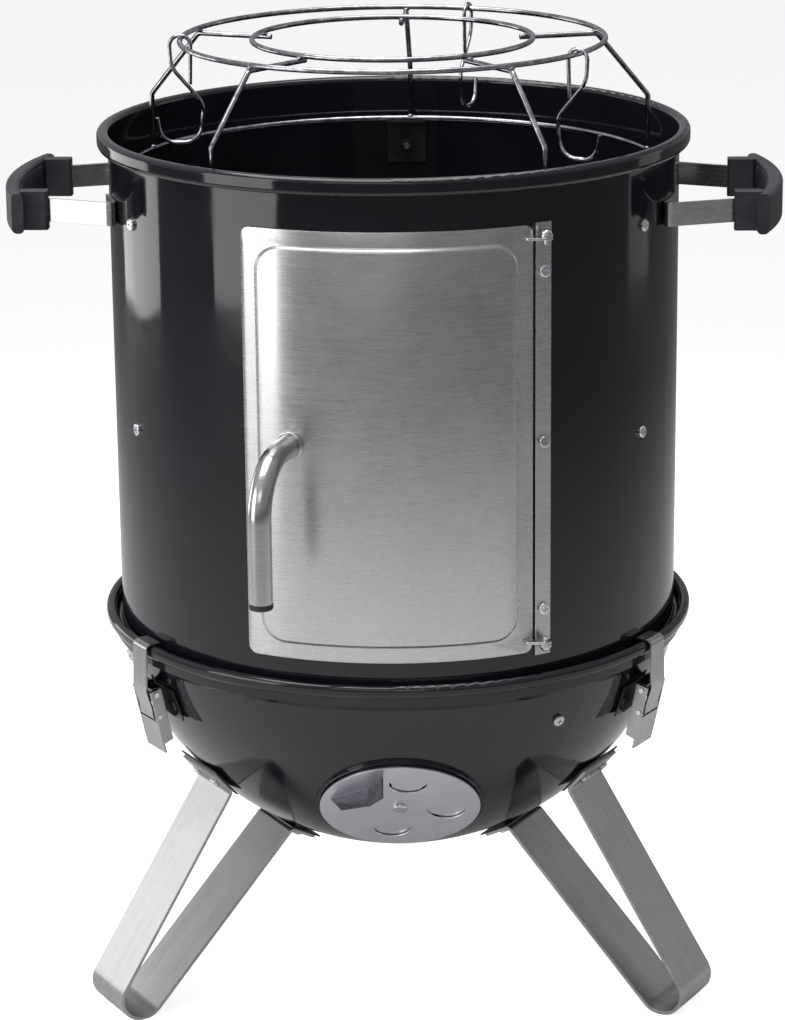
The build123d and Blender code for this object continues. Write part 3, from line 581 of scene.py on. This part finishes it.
# %% Helpers for modelling
def clear_selection():
    """Nothing selected, and object mode."""
    if bpy.context.object and bpy.context.object.mode != "OBJECT":
        bpy.ops.object.mode_set(mode="OBJECT")
    bpy.ops.object.select_all(action="DESELECT")


def choose(*pieces):
    """These pieces selected, the last one active."""
    clear_selection()
    for piece in pieces:
        piece.select_set(True)
    bpy.context.view_layer.objects.active = pieces[-1]


def settle(piece):
    """The piece's place, turn and size go into its mesh, normals outward."""
    choose(piece)
    bpy.ops.object.transform_apply(location=True, rotation=True, scale=True)
    bpy.ops.object.mode_set(mode="EDIT")
    bpy.ops.mesh.select_all(action="SELECT")
    bpy.ops.mesh.normals_make_consistent(inside=False)
    bpy.ops.object.mode_set(mode="OBJECT")


def apply_modifier(piece, kind, **settings):
    """Adds one modifier, sets it and applies it."""
    choose(piece)
    modifier = piece.modifiers.new(kind.title(), kind)
    for key, value in settings.items():
        setattr(modifier, key, value)
    bpy.ops.object.modifier_apply(modifier=modifier.name)


def merge(pieces, name):
    """Several pieces become one, under one name."""
    choose(*pieces)
    if len(pieces) > 1:
        bpy.ops.object.join()
    whole = bpy.context.object
    whole.name = whole.data.name = name
    return whole


def finish_piece(piece, body, finish, nodes=(), angle=35.0):
    """Shading, paint, and the body the piece moves with."""
    choose(piece)
    bpy.ops.object.shade_smooth_by_angle(angle=math.radians(angle))
    paint(piece, finish)
    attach(piece, body)
    if nodes:
        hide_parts(*nodes)
    print(piece.name, "has", len(piece.data.polygons), "faces")


print("modelling helpers ready")

# %% Cut the door's outline
DOOR_SKIN = 0.2166                       # radius of the sheet's outer face
DOOR_SHEET, EDGE_BREAK = 0.0012, 0.0003  # thickness, and how far sharp edges are rubbed back
SHARP = math.radians(50.0)
DOOR_LOW, DOOR_HIGH = 0.311, 0.628
DOOR_LEFT, DOOR_RIGHT = -30.2, 26.8      # azimuths of its edges
DOOR_MARGIN, DOOR_CORNER, FIELD_CORNER = 0.0108, 0.007, 0.020
door_arc = math.radians(DOOR_RIGHT - DOOR_LEFT)
door_width = DOOR_SKIN * door_arc
door_middle = (DOOR_LOW + DOOR_HIGH) / 2


def outline(width, height, corner):
    """An open upright rectangle with round corners, facing -Y."""
    clear_selection()
    bpy.ops.mesh.primitive_plane_add(size=1.0, location=(0.0, 0.0, door_middle),
                                     rotation=(math.radians(90.0), 0.0, 0.0))
    sheet = bpy.context.object
    sheet.scale = (width, height, 1.0)
    choose(sheet)
    bpy.ops.object.transform_apply(location=False, rotation=True, scale=True)
    bpy.ops.object.mode_set(mode="EDIT")
    bpy.ops.mesh.select_all(action="SELECT")
    bpy.ops.mesh.bevel(offset=corner, segments=8, affect="VERTICES")
    bpy.ops.mesh.select_all(action="SELECT")
    bpy.ops.mesh.delete(type="ONLY_FACE")
    bpy.ops.object.mode_set(mode="OBJECT")
    return sheet


door_height = DOOR_HIGH - DOOR_LOW
rim = outline(door_width, door_height, DOOR_CORNER)
field = outline(door_width - 2 * DOOR_MARGIN, door_height - 2 * DOOR_MARGIN, FIELD_CORNER)
door = merge([field, rim], "door")
bpy.ops.object.mode_set(mode="EDIT")
bpy.ops.mesh.select_all(action="SELECT")
bpy.ops.mesh.bridge_edge_loops()
bpy.ops.object.mode_set(mode="OBJECT")
print("door border", len(door.data.polygons), "faces")

# %% Press the raised field
PRESS_WIDTH, PRESS_RISE, PRESS_STEPS = 0.0038, 0.0022, 6
field_x = door_width / 2 - DOOR_MARGIN + 1e-5
field_z = door_height / 2 - DOOR_MARGIN + 1e-5
bpy.ops.object.mode_set(mode="EDIT")
bpy.ops.mesh.select_all(action="DESELECT")
bpy.ops.object.mode_set(mode="OBJECT")
for vertex in door.data.vertices:
    vertex.select = abs(vertex.co.x) < field_x and abs(vertex.co.z) < field_z
bpy.ops.object.mode_set(mode="EDIT")
bpy.ops.mesh.select_mode(type="VERT")
bpy.ops.mesh.edge_face_add()
bpy.ops.mesh.select_mode(type="FACE")
risen = 0.0
for step in range(1, PRESS_STEPS + 1):
    height = PRESS_RISE * 0.5 * (1.0 - math.cos(math.pi * step / PRESS_STEPS))
    bpy.ops.mesh.inset(thickness=PRESS_WIDTH / PRESS_STEPS, depth=0.0)
    bpy.ops.transform.translate(value=(0.0, risen - height, 0.0))
    risen = height
bpy.ops.mesh.select_all(action="SELECT")
bpy.ops.mesh.normals_make_consistent(inside=False)
bpy.ops.object.mode_set(mode="OBJECT")
if sum(face.normal.y * face.area for face in door.data.polygons) > 0.0:
    bpy.ops.object.mode_set(mode="EDIT")
    bpy.ops.mesh.flip_normals()
    bpy.ops.object.mode_set(mode="OBJECT")
print("field raised by", round(risen, 4))

# %% Roll the door to the barrel
BEND_CUTS = 44
bpy.ops.object.mode_set(mode="EDIT")
for cut in range(1, BEND_CUTS):
    bpy.ops.mesh.select_all(action="SELECT")
    bpy.ops.mesh.bisect(plane_co=(door_width * (cut / BEND_CUTS - 0.5), 0.0, door_middle),
                        plane_no=(1.0, 0.0, 0.0))
bpy.ops.object.mode_set(mode="OBJECT")
choose(door)
bpy.ops.object.transform_apply(location=True, rotation=True, scale=True)
apply_modifier(door, "SIMPLE_DEFORM", deform_method="BEND", deform_axis="Z", angle=door_arc)
choose(door)
door.location = (0.0, -DOOR_SKIN, 0.0)
bpy.ops.object.transform_apply(location=True, rotation=True, scale=True)
door.rotation_euler = (0.0, 0.0, math.radians((DOOR_LEFT + DOOR_RIGHT) / 2))
bpy.ops.object.transform_apply(location=True, rotation=True, scale=True)
apply_modifier(door, "SOLIDIFY", thickness=DOOR_SHEET, offset=-1.0)
apply_modifier(door, "BEVEL", width=EDGE_BREAK, segments=2, limit_method="ANGLE",
               angle_limit=SHARP)
reach = [math.hypot(v.co.x, v.co.y) for v in door.data.vertices]
print("door between radius", round(min(reach), 4), "and", round(max(reach), 4))

# %% Hang the door on its lugs
# Each tail runs straight to the left and so passes through the barrel's wall behind the door,
# and the lugs have no bore for the pin.
LUG_PIN = (0.10685, -0.19516)
LUG_RADIUS, LUG_THICK, LUG_TAIL = 0.0048, 0.0020, 0.0110
LUG_UNDERSIDES = (0.3185, 0.6175)
door_pieces = []
for underside in LUG_UNDERSIDES:
    clear_selection()
    bpy.ops.mesh.primitive_cylinder_add(vertices=32, radius=LUG_RADIUS, depth=LUG_THICK,
                                        location=(*LUG_PIN, underside + LUG_THICK / 2))
    lug = bpy.context.object
    bpy.ops.object.mode_set(mode="EDIT")
    bpy.ops.mesh.select_all(action="DESELECT")
    bpy.ops.object.mode_set(mode="OBJECT")
    for face in lug.data.polygons:
        face.select = face.normal.x < -0.3 and abs(face.normal.z) < 0.5
    bpy.ops.object.mode_set(mode="EDIT")
    bpy.ops.mesh.extrude_region_move(TRANSFORM_OT_translate={"value": (-LUG_TAIL, 0.0, 0.0)})
    bpy.ops.object.mode_set(mode="OBJECT")
    settle(lug)
    apply_modifier(lug, "BEVEL", width=EDGE_BREAK, segments=2, limit_method="ANGLE",
                   angle_limit=SHARP)
    door_pieces.append(lug)
door = merge(door_pieces + [door], "door")
finish_piece(door, "door", finishes["stainless"], nodes=("door_panel",), angle=30.0)

# %% [markdown]
# Each plastic grip has a row of fine ribs on the side the fingers close on, moulded with the bar
# so that a hot, damp hand does not slide. One rib is modelled, then copied along the grip's
# curve. The bars themselves stay as they are built in the CAD.

# %% Rib the grips
# At this radius a few ribs on each grip stand just clear of the bar.
GRIP_CENTRE, GRIP_INNER = 0.0446, 0.2364     # centre of the bar's curve, and its inner radius
GRIP_HEIGHT = 0.6134
RIB_COUNT, RIB_STEP = 26, 0.0040
RIB_DEEP, RIB_WIDE, RIB_TALL = 0.0014, 0.0013, 0.022
for side, turn in (("right", -3.0), ("left", -183.0)):
    ribs = []
    for rib in range(RIB_COUNT):
        angle = (rib - (RIB_COUNT - 1) / 2) * RIB_STEP / GRIP_INNER
        clear_selection()
        bpy.ops.mesh.primitive_cube_add(size=1.0)
        bar = bpy.context.object
        bar.dimensions = (RIB_DEEP, RIB_WIDE, RIB_TALL)
        bar.location = (GRIP_CENTRE + GRIP_INNER * math.cos(angle),
                        GRIP_INNER * math.sin(angle), GRIP_HEIGHT)
        bar.rotation_euler = (0.0, 0.0, angle)
        settle(bar)
        ribs.append(bar)
    row = merge(ribs, side + "_grip_ribs")
    row.rotation_euler = (0.0, 0.0, math.radians(turn))
    settle(row)
    apply_modifier(row, "BEVEL", width=EDGE_BREAK, segments=2)
    finish_piece(row, "root", finishes["black_plastic"])

# %% [markdown]
# The rack is bent wire, spot welded where the wires cross. Each weld leaves a small flattened
# bead. One bead is modelled and its copies are set at the crossings, all joined as one piece.

# %% Weld the rack
WIRE_AZIMUTHS = (-112.0, -40.0, 32.0, 104.0, 176.0)
BEAD_RADIUS, BEAD_SQUASH = 0.0024, (1.15, 1.15, 0.75)
CROSSINGS = ((0.159, 0.729), (0.105, 0.729), (0.201, 0.637))     # radius and height of each weld
beads = []
for azimuth in WIRE_AZIMUTHS:
    turn = math.radians(azimuth)
    for ring_radius, ring_height in CROSSINGS:
        clear_selection()
        bpy.ops.mesh.primitive_uv_sphere_add(
            segments=12, ring_count=6, radius=BEAD_RADIUS,
            location=(ring_radius * math.sin(turn), -ring_radius * math.cos(turn), ring_height))
        bead = bpy.context.object
        bead.scale = BEAD_SQUASH
        settle(bead)
        beads.append(bead)
welds = merge(beads, "rack_welds")
finish_piece(welds, "rack", finishes["wire_chrome"], angle=60.0)
